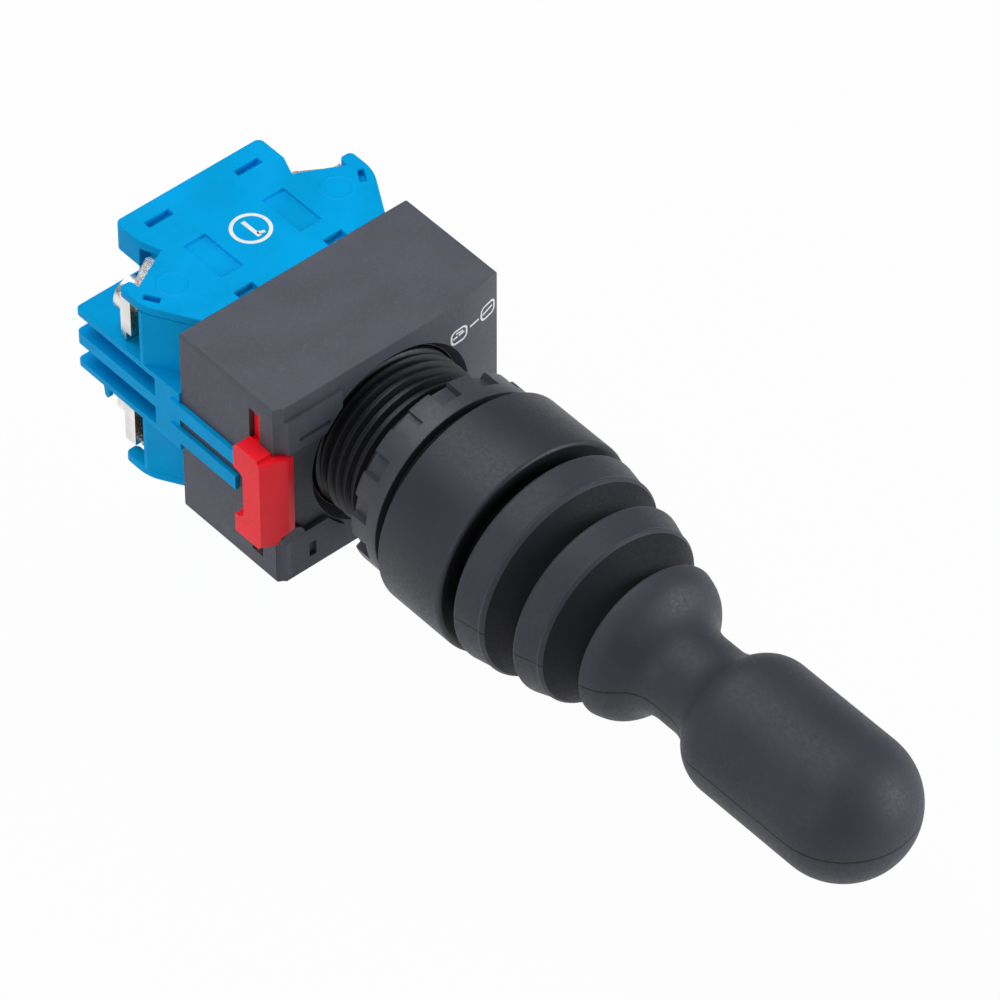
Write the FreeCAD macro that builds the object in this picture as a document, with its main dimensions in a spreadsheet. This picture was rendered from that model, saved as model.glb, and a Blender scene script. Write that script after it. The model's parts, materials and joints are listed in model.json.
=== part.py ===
import FreeCAD, Part
import math
import os

import Sketcher
from FreeCAD import Placement, Rotation, Vector

# Panel-mount single-axis lever switch for a 22 mm panel hole.
#
# Frame, in millimetres: the origin is on the operator's axis at the panel seat, the rear face of
# the gasket. +Y goes into the panel, towards the contact blocks, the handle points along -Y, and
# +Z is up. The lever tilts up and down about an axis along X.
#
# Lengths named ..._ahead are measured from the seat towards the handle, and those named
# ..._behind from the seat into the panel.

SIZES = {
    # Threaded barrel
    "barrel_radius": 11.0,
    "barrel_wall": 2.0,
    "barrel_step": 0.6,
    "barrel_step_behind": 9.0,
    "barrel_end_behind": 22.0,
    "flange_rise": 1.9,
    "flange_ahead": 9.0,
    "key_width": 2.6,
    "key_depth": 0.8,
    "latch_groove_depth": 1.3,
    # Gasket, bezel and gate
    "gasket_thick": 1.05,
    "gasket_inset": 0.65,
    "bezel_wall": 1.8,
    "bezel_ahead": 12.0,
    "bezel_lip": 1.1,
    "bezel_lip_reach": 1.65,
    "bezel_round": 0.7,
    "gate_thick": 1.2,
    "gate_half_length": 5.0,
    # Lock nut and its washer
    "washer_thick": 0.8,
    "washer_inset": 1.05,
    "nut_inset": 1.2,
    "nut_thick": 4.6,
    "nut_band": 1.9,
    "notch_depth": 0.7,
    "notch_width": 2.9,
    "notch_count": 14,
    # Lever
    "pivot_ahead": 5.0,
    "pin_radius": 1.25,
    "shaft_radius": 3.0,
    "shaft_top_ahead": 60.0,
    "hub_radius": 3.8,
    "hub_half_width": 5.0,
    "arm_half_width": 2.2,
    "arm_half_thick": 1.0,
    "lobe_radius": 1.6,
    "jam_nut_flats": 10.0,
    "jam_nut_thick": 2.2,
    "handle_recess": 1.9,
    "recess_radius": 8.2,
    "rim_ahead": 31.3,
    "rim_radius": 10.45,
    "rim_edge": 0.45,
    "bell_curve": 8.0,
    "waist_ahead": 39.5,
    "neck_ahead": 42.2,
    "neck_radius": 6.05,
    "neck_curve": 5.2,
    "grip_radius": 9.24,
    "dome_ahead": 65.1,
    # Bellows boot
    "boot_foot_inset": 0.4,
    "boot_neck_gap": 0.2,
    "boot_wall": 0.95,
    "ring_one_inset": 0.35,
    "ring_one_ahead": 13.7,
    "ring_one_band": 4.5,
    "ring_one_taper": 0.8,
    "ring_one_front": 7.9,
    "ring_two_inset": 1.7,
    "ring_two_ahead": 22.7,
    "ring_two_band": 3.8,
    "ring_two_taper": 1.25,
    "valley_depth": 2.85,
    "boot_top_radius": 8.4,
    # Push rods
    "rod_inset": 2.4,
    "rod_radius": 1.4,
    "collar_radius": 2.1,
    "collar_thick": 1.0,
    "collar_drop": 2.0,
    "guide_thick": 1.2,
    "rod_wire": 0.5,
    # Base housing
    "base_behind": 13.7,
    "base_depth": 17.6,
    "base_side_margin": 6.6,
    "base_top_margin": 3.3,
    "base_wall": 1.5,
    "base_front_wall": 3.0,
    "base_edge": 0.5,
    "front_slope_start": 8.0,
    "front_slope_drop": 1.4,
    "guard_rise": 0.7,
    "guard_end": 8.0,
    "guard_top_inset": 2.1,
    "guard_bottom_inset": 1.3,
    "guard_clear": 1.6,
    "corner_width": 2.1,
    "corner_round": 1.3,
    "corner_half_height": 7.0,
    "slot_inset": 2.6,
    "plate_thick": 1.5,
    "plate_screw_inset": 4.0,
    "plate_screw_radius": 1.0,
    # Lock slide
    "slide_thick": 1.7,
    "slide_reach": 4.0,
    "slide_recess": 0.7,
    "grip_out": 2.3,
    "grip_proud": 0.93,
    "grip_bevel_across": 1.4,
    "grip_bevel_along": 1.18,
    "wing_back": 1.6,
    "wing_low": 3.0,
    "wing_rise": 0.3,
    # Contact blocks
    "block_edge_inset": 3.5,
    "block_overhang": 0.35,
    "block_flank": 6.6,
    "block_step": 7.2,
    "block_core_gap": 0.7,
    "block_core_depth": 17.6,
    "cover_reach": 2.3,
    "fin_outer": 4.66,
    "fin_thick": 0.9,
    "fin_start": 4.6,
    "fin_reach": 1.9,
    "fin_core_inset": 5.6,
    "rail_forward": 10.6,
    "rail_low": 0.9,
    "rail_high": 3.1,
    "rail_thick": 0.6,
    "rail_root": 1.5,
    "cover_thick": 1.3,
    "skirt_low": 10.1,
    "skirt_proud": 1.7,
    "skirt_start": 12.4,
    "cavity_wall": 1.2,
    "case_wall": 1.4,
    "prong_length": 10.9,
    "prong_width": 1.9,
    "prong_round": 0.75,
    "ledge_start": 9.4,
    "notch_back": 12.05,
    "notch_step": 1.1,
    "cover_round": 0.9,
    # Contacts
    "plunger_reach": 3.0,
    "plunger_radius": 2.0,
    "tail_radius": 1.2,
    "tail_start": 9.6,
    "tail_end": 12.2,
    "bridge_behind": 4.3,
    "bridge_thick": 0.8,
    "bridge_end_gap": 1.5,
    "bridge_half_height": 1.25,
    "contact_gap": 2.1,
    "strip_thick": 0.8,
    "strip_overlap": 2.6,
    "strip_inset": 0.6,
    "strip_top_gap": 0.9,
    "screw_inset": 4.0,
    "screw_radius": 1.5,
    "screw_reach": 4.0,
    "head_radius": 2.6,
    "head_thick": 2.4,
    "clamp_thick": 0.9,
    "clamp_half": 3.4,
    "clamp_lift": 3.0,
    "clamp_drop": 2.6,
    "return_wire": 0.4,
    # Clearances
    "fit_gap": 0.05,
    "slide_gap": 0.1,
    "soft_gap": 0.3,
}


class Size:
    """A length that carries both its number and the sheet expression that drives it."""

    def __init__(self, number, text):
        self.number = float(number)
        self.text = text

    def __add__(self, other):
        return joined(self, other, "+", lambda a, b: a + b)

    def __radd__(self, other):
        return joined(other, self, "+", lambda a, b: a + b)

    def __sub__(self, other):
        return joined(self, other, "-", lambda a, b: a - b)

    def __rsub__(self, other):
        return joined(other, self, "-", lambda a, b: a - b)

    def __mul__(self, other):
        return joined(self, other, "*", lambda a, b: a * b)

    def __rmul__(self, other):
        return joined(other, self, "*", lambda a, b: a * b)

    def __truediv__(self, other):
        return joined(self, other, "/", lambda a, b: a / b)

    def __neg__(self):
        return joined(-1.0, self, "*", lambda a, b: a * b)


def as_size(value):
    return value if isinstance(value, Size) else Size(value, repr(float(value)))


def joined(left, right, sign, work):
    left, right = as_size(left), as_size(right)
    return Size(work(left.number, right.number), f"({left.text} {sign} {right.text})")


class Curve:
    """An outline point reached by an arc of the given radius; left_turn is its turning sense."""

    def __init__(self, across, up, radius, left_turn):
        self.across, self.up, self.radius, self.left_turn = across, up, radius, left_turn


class Circle:
    def __init__(self, across, up, radius):
        self.across, self.up, self.radius = across, up, radius


doc = FreeCAD.newDocument("LeverSwitch")
sheet = doc.addObject("Spreadsheet::Sheet", "Sizes")
for row, (alias, number) in enumerate(SIZES.items(), start=1):
    sheet.set(f"A{row}", alias.replace("_", " "))
    sheet.set(f"B{row}", str(number))
    sheet.setAlias(f"B{row}", alias)
doc.recompute()


class Driving:
    """The sheet's values by name, each as a Size."""

    def __getattr__(self, alias):
        return Size(getattr(sheet, alias), "Sizes." + alias)


d = Driving()
parts = []


def drive(target, name, value):
    """Bind one property, or one named constraint, to its expression."""
    value = as_size(value)
    target.setExpression(name, value.text)


def fix_point(sketch, geometry, corner, across, up):
    """Hold a sketch point at a signed distance from the sketch's origin."""
    for kind, axis, value in (("DistanceX", -2, across), ("DistanceY", -1, up)):
        value = as_size(value)
        if value.text == "0.0":
            sketch.addConstraint(Sketcher.Constraint("PointOnObject", geometry, corner, axis))
            continue
        index = sketch.addConstraint(
            Sketcher.Constraint(kind, -1, 1, geometry, corner, value.number)
        )
        drive(sketch, f"Constraints[{index}]", value)


def arc_between(start, end, radius, left_turn):
    """The minor arc from start to end with the given radius."""
    half = (end - start) * 0.5
    middle = start + half
    reach = math.sqrt(max(radius ** 2 - half.Length ** 2, 1e-9))
    normal = Vector(-half.y, half.x, 0).normalize() * (reach if left_turn else -reach)
    centre = middle + normal
    bulge = (middle - centre).normalize() if reach > 1e-4 else Vector(half.y, -half.x, 0).normalize()
    return Part.Arc(start, centre + bulge * radius, end)


def add_loop(sketch, points):
    """Draw a closed outline of lines and arcs with every corner bound to the sheet."""
    if isinstance(points, Circle):
        centre = Vector(as_size(points.across).number, as_size(points.up).number, 0)
        radius = as_size(points.radius)
        index = sketch.addGeometry(Part.Circle(centre, Vector(0, 0, 1), radius.number))
        fix_point(sketch, index, 3, points.across, points.up)
        rule = sketch.addConstraint(Sketcher.Constraint("Radius", index, radius.number))
        drive(sketch, f"Constraints[{rule}]", radius)
        return
    places = []
    for point in points:
        if isinstance(point, Curve):
            places.append((point.across, point.up))
        else:
            places.append(point)
    spots = [Vector(as_size(u).number, as_size(v).number, 0) for u, v in places]
    count = len(points)
    starts, ends, indices = [], [], []
    for i in range(count):
        following = points[(i + 1) % count]
        start, end = spots[i], spots[(i + 1) % count]
        if isinstance(following, Curve):
            radius = as_size(following.radius)
            shape = arc_between(start, end, radius.number, following.left_turn)
            index = sketch.addGeometry(shape)
            # a sketch arc always runs anticlockwise from its first end to its second
            starts.append(1 if following.left_turn else 2)
            ends.append(2 if following.left_turn else 1)
            rule = sketch.addConstraint(Sketcher.Constraint("Radius", index, radius.number))
            drive(sketch, f"Constraints[{rule}]", radius)
        else:
            index = sketch.addGeometry(Part.LineSegment(start, end))
            starts.append(1)
            ends.append(2)
        indices.append(index)
    for i in range(count):
        after = (i + 1) % count
        sketch.addConstraint(
            Sketcher.Constraint("Coincident", indices[i], ends[i], indices[after], starts[after])
        )
    for i in range(count):
        fix_point(sketch, indices[i], starts[i], *places[i])


class Piece:
    """One separate sub-part, made as a body from sketches and features."""

    def __init__(self, label):
        self.body = doc.addObject("PartDesign::Body", label)
        self.body.Label = label
        self.count = 0
        parts.append(self.body)

    def origin(self, role):
        return [f for f in self.body.Origin.OriginFeatures if f.Role == role][0]

    def name(self, word):
        self.count += 1
        return f"{self.body.Label}_{word}_{self.count}"

    def sketch(self, axis, level, *loops):
        """A sketch on the plane square to axis, at the given place along that axis."""
        role = {"X": "YZ_Plane", "Y": "XZ_Plane", "Z": "XY_Plane"}[axis]
        sketch = self.body.newObject("Sketcher::SketchObject", self.name("sketch"))
        sketch.AttachmentSupport = (self.origin(role), "")
        sketch.MapMode = "FlatFace"
        # the XZ plane looks along -Y
        drive(sketch, "AttachmentOffset.Base.z", -level if axis == "Y" else level)
        for loop in loops:
            add_loop(sketch, loop)
        return sketch

    def pad(self, axis, low, high, *loops):
        low, high = as_size(low), as_size(high)
        feature = self.body.newObject("PartDesign::Pad", self.name("pad"))
        feature.Profile = self.sketch(axis, low, *loops)
        feature.Reversed = axis == "Y"
        drive(feature, "Length", high - low)
        self.body.Tip = feature
        return feature

    def pocket(self, axis, low, high, *loops):
        low, high = as_size(low), as_size(high)
        feature = self.body.newObject("PartDesign::Pocket", self.name("pocket"))
        feature.Profile = self.sketch(axis, low, *loops)
        feature.Reversed = axis != "Y"
        drive(feature, "Length", high - low)
        self.body.Tip = feature
        return feature

    def turn(self, *loops):
        """Revolve an outline of (radius, y) points about the Y axis."""
        sketch = self.sketch("Z", Size(0, "0.0"), *loops)
        feature = self.body.newObject("PartDesign::Revolution", self.name("turn"))
        feature.Profile = sketch
        feature.ReferenceAxis = (sketch, ["V_Axis"])
        feature.Angle = 360
        self.body.Tip = feature
        return feature

    def ring_of(self, feature, count):
        pattern = self.body.newObject("PartDesign::PolarPattern", self.name("ring"))
        pattern.Originals = [feature]
        pattern.Axis = (self.origin("Y_Axis"), [""])
        pattern.Angle = 360
        drive(pattern, "Occurrences", count)
        self.body.Tip = pattern
        return pattern

    def soften(self, kind, size, test):
        """Round or bevel the edges of the body so far for which test is true."""
        doc.recompute()
        base = self.body.Tip
        edges = [f"Edge{i}" for i, e in enumerate(base.Shape.Edges, start=1) if test(e)]
        feature = self.body.newObject("PartDesign::" + kind, self.name(kind.lower()))
        feature.Base = (base, edges)
        drive(feature, "Radius" if kind == "Fillet" else "Size", size)
        self.body.Tip = feature
        return feature


def rectangle(left, right, low, high):
    return [(left, low), (right, low), (right, high), (left, high)]


def runs_along(edge, axis):
    if not isinstance(edge.Curve, (Part.Line, Part.LineSegment)):
        return False
    way = edge.tangentAt(edge.FirstParameter)
    return abs(getattr(way, axis)) > 0.999


def is_rim(edge, radius, y):
    """True for a full circle about the Y axis with this radius at this y."""
    curve = edge.Curve
    return (
        isinstance(curve, Part.Circle)
        and abs(curve.Radius - radius.number) < 0.01
        and abs(curve.Center.y - y.number) < 0.01
        and abs(curve.Center.x) + abs(curve.Center.z) < 0.01
    )


def box(name, low, high):
    """A part box between two corners given as (x, y, z) sizes."""
    shape = doc.addObject("Part::Box", name)
    for prop, axis, a, b in zip(("Length", "Width", "Height"), "xyz", low, high):
        drive(shape, prop, as_size(b) - as_size(a))
        drive(shape, f"Placement.Base.{axis}", a)
    return shape


def rod_along_y(name, radius, low, high, across, up):
    """A part cylinder along Y."""
    shape = doc.addObject("Part::Cylinder", name)
    shape.Placement = Placement(Vector(0, 0, 0), Rotation(Vector(1, 0, 0), -90))
    drive(shape, "Radius", radius)
    drive(shape, "Height", as_size(high) - as_size(low))
    drive(shape, "Placement.Base.x", across)
    drive(shape, "Placement.Base.y", low)
    drive(shape, "Placement.Base.z", up)
    return shape


def combine(kind, label, shapes):
    """A multi-shape boolean; for a cut the first shape is the base."""
    result = doc.addObject(kind, label)
    if kind == "Part::Cut":
        result.Base, result.Tool = shapes
    else:
        result.Shapes = shapes
    result.Label = label
    return result


def group(label, shapes):
    """Separate solids kept together as one sub-part."""
    result = doc.addObject("Part::Compound", label)
    result.Links = shapes
    result.Label = label
    parts.append(result)
    return result


def coil(label, radius, wire, low, high, turns, up):
    """A round-wire coil spring about an axis along Y."""
    helix = doc.addObject("Part::Helix", label + "_path")
    drive(helix, "Radius", radius)
    drive(helix, "Height", high - low - 2 * wire)
    drive(helix, "Pitch", (high - low - 2 * wire) / turns)
    section = doc.addObject("Part::Circle", label + "_wire")
    drive(section, "Radius", wire)
    section.Placement = Placement(Vector(0, 0, 0), Rotation(Vector(1, 0, 0), 90))
    drive(section, "Placement.Base.x", radius)
    spring = doc.addObject("Part::Sweep", label)
    spring.Sections = [section]
    spring.Spine = (helix, [])
    spring.Solid = True
    spring.Frenet = True
    spring.Placement = Placement(Vector(0, 0, 0), Rotation(Vector(1, 0, 0), -90))
    drive(spring, "Placement.Base.y", low + wire)
    drive(spring, "Placement.Base.z", up)
    spring.Label = label
    parts.append(spring)
    return spring


# Places along the axis that several pieces share
pivot_y = -d.pivot_ahead
gasket_front = -d.gasket_thick
flange_front = -d.flange_ahead
gate_front = flange_front - d.gate_thick
bezel_front = -d.bezel_ahead
lip_rear = bezel_front + d.bezel_lip
base_front = d.base_behind
base_inner = base_front + d.base_front_wall
slide_rear = base_inner + d.slide_gap + d.slide_thick
plate_front = slide_rear + d.slide_gap
base_rear = base_front + d.base_depth
block_depth = d.block_core_depth + d.cover_reach
fin_depth = d.block_core_depth + d.fin_reach
shaft_end = pivot_y + d.hub_radius / 2

# Sizes across the axis that several pieces share
barrel_bore = d.barrel_radius - d.barrel_wall
barrel_step_bore = barrel_bore - d.barrel_step
flange_radius = d.barrel_radius + d.flange_rise
latch_groove_radius = d.barrel_radius - d.latch_groove_depth
rod_offset = barrel_bore - d.rod_inset
bezel_radius = flange_radius + d.fit_gap + d.bezel_wall
bezel_mouth = flange_radius + d.fit_gap - d.bezel_lip_reach
nut_radius = bezel_radius - d.nut_inset
base_half_width = d.barrel_radius + d.base_side_margin
base_half_height = d.barrel_radius + d.base_top_margin
slot_half_height = base_half_height - d.slot_inset
screw_across = base_half_width - d.screw_inset
block_half_width = base_half_width + d.block_overhang
block_edge = base_half_width - d.block_edge_inset
block_core = screw_across - d.clamp_half - d.block_core_gap
fin_core = base_half_width - d.fin_core_inset
skirt_across = block_core + d.skirt_proud
cavity_across = block_core - d.cavity_wall
notch_inner = skirt_across - d.notch_step
bridge_half_length = cavity_across - d.bridge_end_gap
strip_inner = bridge_half_length - d.strip_overlap


def make_barrel():
    barrel = Piece("barrel")
    groove_rear = plate_front
    barrel.turn([
        (barrel_bore, flange_front),
        (flange_radius, flange_front),
        (flange_radius, gasket_front),
        (d.barrel_radius, gasket_front),
        (d.barrel_radius, base_inner),
        (latch_groove_radius, base_inner),
        (latch_groove_radius, groove_rear),
        (d.barrel_radius, groove_rear),
        (d.barrel_radius, d.barrel_end_behind),
        (barrel_step_bore, d.barrel_end_behind),
        (barrel_step_bore, d.barrel_step_behind),
        (barrel_bore, d.barrel_step_behind),
    ])
    barrel.pocket("X", -flange_radius, flange_radius, Circle(
        pivot_y, 0, d.pin_radius + d.fit_gap / 2))
    barrel.pocket("Y", gasket_front, base_front, rectangle(
        -d.key_width / 2, d.key_width / 2, -d.barrel_radius - 1, d.key_depth - d.barrel_radius))


def make_bezel_ring():
    bezel = Piece("bezel_ring")
    bore = flange_radius + d.fit_gap
    bezel.turn([
        (bore, gasket_front),
        (bezel_radius, gasket_front),
        (bezel_radius, bezel_front),
        (bezel_mouth, bezel_front),
        (bezel_mouth, lip_rear),
        (bore, lip_rear),
    ])
    bezel.soften("Fillet", d.bezel_round, lambda e: is_rim(e, bezel_radius, bezel_front))


def make_panel_gasket():
    gasket = Piece("panel_gasket")
    gasket.turn([
        (d.barrel_radius + d.fit_gap, gasket_front),
        (bezel_radius - d.gasket_inset, gasket_front),
        (bezel_radius - d.gasket_inset, 0),
        (d.barrel_radius + d.fit_gap, 0),
    ])


def make_gate_plate():
    gate = Piece("gate_plate")
    gate.pad("Y", gate_front, flange_front, Circle(0, 0, flange_radius - d.fit_gap))
    half = d.shaft_radius + d.slide_gap
    gate.pocket("Y", gate_front, flange_front, rectangle(
        -half, half, -d.gate_half_length, d.gate_half_length))


def make_pivot_pin():
    reach = flange_radius - d.slide_gap
    Piece("pivot_pin").pad("X", -reach, reach, Circle(pivot_y, 0, d.pin_radius))


def make_rod_guide():
    guide = Piece("rod_guide")
    low = d.barrel_step_behind - d.guide_thick
    guide.pad("Y", low, d.barrel_step_behind, Circle(0, 0, barrel_bore - d.fit_gap))
    hole = d.rod_radius + d.fit_gap
    guide.pocket("Y", low, d.barrel_step_behind,
                 Circle(0, rod_offset, hole), Circle(0, -rod_offset, hole))


def make_lock_washer():
    washer = Piece("lock_washer")
    washer.turn([
        (d.barrel_radius + d.slide_gap, 0),
        (nut_radius - d.washer_inset, 0),
        (nut_radius - d.washer_inset, d.washer_thick),
        (d.barrel_radius + d.slide_gap, d.washer_thick),
    ])
    tab = d.key_width / 2 - d.slide_gap
    washer.pad("Y", 0, d.washer_thick, rectangle(
        -tab, tab, -d.barrel_radius - d.slide_gap * 3, d.key_depth - d.barrel_radius - d.slide_gap))


def make_lock_nut():
    nut = Piece("lock_nut")
    rear = d.washer_thick + d.nut_thick
    nut.turn([
        (d.barrel_radius + d.fit_gap, d.washer_thick),
        (nut_radius, d.washer_thick),
        (nut_radius, rear),
        (d.barrel_radius + d.fit_gap, rear),
    ])
    nut.soften("Chamfer", d.notch_depth / 2, lambda e: is_rim(e, nut_radius, rear))
    notch = nut.pocket("Y", d.washer_thick + d.nut_band, rear + 1, rectangle(
        -d.notch_width / 2, d.notch_width / 2, nut_radius - d.notch_depth, nut_radius + 2))
    nut.ring_of(notch, d.notch_count)


def make_lever_shaft():
    shaft = Piece("lever_shaft")
    shaft.pad("Y", -d.shaft_top_ahead, shaft_end, Circle(0, 0, d.shaft_radius))
    shaft.pocket("X", -d.shaft_radius - 1, d.shaft_radius + 1,
                 Circle(pivot_y, 0, d.pin_radius + d.fit_gap))


def make_rocker():
    rocker = Piece("rocker")
    rocker.pad("X", -d.hub_half_width, d.hub_half_width, Circle(pivot_y, 0, d.hub_radius))
    rocker.pad("X", -d.arm_half_width, d.arm_half_width, rectangle(
        pivot_y - d.arm_half_thick, pivot_y + d.arm_half_thick, -rod_offset, rod_offset))
    rocker.pad("X", -d.arm_half_width, d.arm_half_width,
               Circle(pivot_y, rod_offset, d.lobe_radius),
               Circle(pivot_y, -rod_offset, d.lobe_radius))
    rocker.pocket("X", -d.hub_half_width, d.hub_half_width,
                  Circle(pivot_y, 0, d.pin_radius + d.fit_gap))
    rocker.pocket("Y", pivot_y - d.hub_radius - 1, shaft_end,
                  Circle(0, 0, d.shaft_radius + d.fit_gap / 2))


def make_lever_handle():
    """The rubber handle: a bell over the boot, a waist, a shoulder and a domed grip."""
    handle = Piece("lever_handle")
    rim = -d.rim_ahead
    recess = rim - d.handle_recess
    bell = math.radians(50)
    shoulder = math.radians(45)
    drop = 1 - math.cos(shoulder)
    # the shoulder's arc leaves the neck's arc and meets the grip without a corner
    shoulder_curve = (d.grip_radius - d.neck_radius) / drop - d.neck_curve
    grip_start = -d.neck_ahead - (d.neck_curve + shoulder_curve) * math.sin(shoulder)
    bore = d.shaft_radius + d.fit_gap / 2
    handle.turn([
        (bore, recess),
        (d.recess_radius, recess),
        (d.rim_radius - d.rim_edge * 2, rim),
        (d.rim_radius - d.rim_edge, rim),
        Curve(d.rim_radius, rim - d.rim_edge, d.rim_edge, False),
        Curve(d.neck_radius + d.neck_curve * (1 - math.cos(bell)),
              d.neck_curve * math.sin(bell) - d.waist_ahead, d.bell_curve, False),
        Curve(d.neck_radius, -d.waist_ahead, d.neck_curve, True),
        (d.neck_radius, -d.neck_ahead),
        Curve(d.neck_radius + d.neck_curve * drop,
              -d.neck_ahead - d.neck_curve * math.sin(shoulder), d.neck_curve, True),
        Curve(d.grip_radius, grip_start, shoulder_curve, False),
        (d.grip_radius, -d.dome_ahead),
        Curve(0, -d.dome_ahead - d.grip_radius, d.grip_radius, False),
        (0, -d.shaft_top_ahead),
        (bore, -d.shaft_top_ahead),
    ])


def make_jam_nut():
    nut = Piece("jam_nut")
    rear = -d.rim_ahead - d.handle_recess + d.jam_nut_thick
    front = rear - d.jam_nut_thick
    corner = d.jam_nut_flats / math.sqrt(3)
    points = []
    for i in range(6):
        turn = math.radians(60 * i)
        points.append((corner * math.cos(turn), corner * math.sin(turn)))
    nut.pad("Y", front, rear, points, Circle(0, 0, d.shaft_radius + d.fit_gap / 2))


def make_bellows_boot():
    """The rubber boot: each of its two rings is a tapered band with a cone in front."""
    boot = Piece("bellows_boot")
    wall = d.boot_wall
    one, two = -d.ring_one_ahead, -d.ring_two_ahead
    top = -d.rim_ahead - d.handle_recess + d.jam_nut_thick + d.soft_gap
    one_edge, two_edge = one - d.ring_one_band, two - d.ring_two_band
    one_front = one - d.ring_one_front
    ring_one, ring_two = bezel_radius - d.ring_one_inset, bezel_radius - d.ring_two_inset
    one_small, two_small = ring_one - d.ring_one_taper, ring_two - d.ring_two_taper
    neck, foot = bezel_mouth - d.boot_neck_gap, flange_radius - d.boot_foot_inset
    valley = ring_two - d.valley_depth
    foot_front = lip_rear + d.fit_gap
    inner_neck = neck - wall * 1.2
    inner_valley = valley - wall
    boot.turn([
        (inner_neck, gate_front),
        (foot, gate_front),
        (foot, foot_front),
        (neck, foot_front),
        (neck, one),
        (ring_one, one),
        (one_small, one_edge),
        (valley, one_front),
        (valley, two + 0.4),
        (ring_two, two),
        (two_small, two_edge),
        (d.boot_top_radius, top),
        (d.shaft_radius + d.soft_gap, top),
        (d.shaft_radius + d.soft_gap, top + wall),
        (d.boot_top_radius - wall * 0.5, top + wall),
        (two_small - wall * 0.8, two_edge + wall * 0.6),
        (ring_two - wall * 1.3, two - wall * 1.1),
        (inner_valley, two - wall * 0.6),
        (inner_valley, one_front + wall * 0.4),
        (one_small - wall * 0.9, one_edge + wall * 0.5),
        (ring_one - wall * 1.1, one - wall),
        (inner_neck, one - wall * 0.6),
    ])


def rod_top():
    return pivot_y + d.lobe_radius + d.fit_gap


def plunger_front():
    return base_rear - d.plunger_reach


def make_push_rod(number, side):
    rod = Piece(f"push_rod_{number}")
    up = side * rod_offset
    rod.pad("Y", rod_top(), plunger_front(), Circle(0, up, d.rod_radius))
    collar = rod_top() + d.collar_drop
    rod.pad("Y", collar, collar + d.collar_thick, Circle(0, up, d.collar_radius))


def make_rod_spring(number, side):
    low = rod_top() + d.collar_drop + d.collar_thick
    high = d.barrel_step_behind - d.guide_thick
    wire = d.rod_wire / 2
    coil(f"rod_spring_{number}", d.collar_radius - wire, wire, low, high, 6, side * rod_offset)


def plate_screw_place(side):
    return base_half_width - d.plate_screw_inset, side * (base_half_height - d.plate_screw_inset)


def make_base_housing():
    base = Piece("base_housing")
    wide, tall, wall = base_half_width, base_half_height, d.base_wall
    base.pad("Y", base_front, base_rear, rectangle(-wide, wide, -tall, tall))
    base.soften("Fillet", d.base_edge, lambda e: runs_along(e, "y"))
    slope = wide - d.front_slope_start
    bend = (slope * slope + d.front_slope_drop * d.front_slope_drop) / (2 * d.front_slope_drop)
    base.pocket("Z", -tall - 1, tall + 1, [
        (d.front_slope_start, base_front),
        Curve(wide, base_front + d.front_slope_drop, bend, True),
        (wide, base_front - 1),
        (d.front_slope_start, base_front - 1),
    ])
    guard_front = base_front - d.guard_rise
    guard_top = base_half_height - d.guard_top_inset
    guard_bottom = base_half_height - d.guard_bottom_inset
    for low, high in ((d.corner_half_height, guard_top), (-guard_bottom, -d.corner_half_height)):
        base.pad("Y", guard_front, base_front + 0.5, rectangle(-wide, -d.guard_end, low, high))
    base.pocket("Y", guard_front - 1, base_front, Circle(0, 0, d.barrel_radius + d.guard_clear))
    # the vertical corner next to the lock slide is rounded
    base.pocket("Z", -tall - 1, tall + 1, [
        (-wide, guard_front + d.corner_round),
        Curve(d.corner_round - wide, guard_front, d.corner_round, False),
        (d.corner_round - wide, guard_front - 1),
        (-wide - 1, guard_front - 1),
        (-wide - 1, guard_front + d.corner_round),
    ])
    base.pocket("Y", base_front - 0.5, base_inner, Circle(0, 0, d.barrel_radius + d.soft_gap))
    base.pocket("Y", base_inner, base_rear, rectangle(
        wall - wide, wide - wall, wall - tall, tall - wall))
    # the recess at the front left corner that takes the lock slide's grip
    base.pocket("Y", guard_front - 1, plate_front, rectangle(
        -wide - 1, d.corner_width - wide, -d.corner_half_height, d.corner_half_height))
    base.pocket("X", -wide - 1, wall - wide + 0.5, rectangle(
        base_inner, plate_front, -slot_half_height, slot_half_height))
    # shallow windows in the two guards
    base.pocket("Y", guard_front, guard_front + 0.4, rectangle(
        -wide + 3, -wide + 7.8, d.corner_half_height + 1.3, d.corner_half_height + 2))
    base.pocket("Y", guard_front, guard_front + 0.6, rectangle(
        -wide + 4.1, -wide + 5.2, -guard_bottom + 1.4, -guard_bottom + 3.6))
    # screw posts for the retaining plate
    for side in (1, -1):
        across, up = plate_screw_place(side)
        post = Circle(across, up, d.plate_screw_radius * 2)
        base.pad("Y", base_inner - 0.5, plate_front, post)
        base.pocket("Y", base_inner - 1.5, plate_front, Circle(across, up, d.plate_screw_radius))


def make_retaining_plate():
    plate = Piece("retaining_plate")
    gap = d.base_wall + d.slide_gap
    wide, tall = base_half_width - gap, base_half_height - gap
    rear = plate_front + d.plate_thick
    plate.pad("Y", plate_front, rear, rectangle(-wide, wide, -tall, tall))
    plate.pocket("Y", plate_front, rear, Circle(0, 0, d.barrel_radius + d.slide_gap))
    plate.pocket("Y", plate_front, rear,
                 Circle(*plate_screw_place(1), d.plate_screw_radius),
                 Circle(*plate_screw_place(-1), d.plate_screw_radius))


def make_plate_screws():
    solids = []
    rear = plate_front + d.plate_thick
    for number, side in ((1, 1), (2, -1)):
        place = plate_screw_place(side)
        shank = rod_along_y(f"plate_shank_{number}", d.plate_screw_radius, base_inner - 1.5, rear, *place)
        head = rod_along_y(f"plate_head_{number}", d.plate_screw_radius * 1.9, rear, rear + 1.2, *place)
        solids.append(combine("Part::MultiFuse", f"plate_screw_{number}", [shank, head]))
    group("plate_screws", solids)


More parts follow.
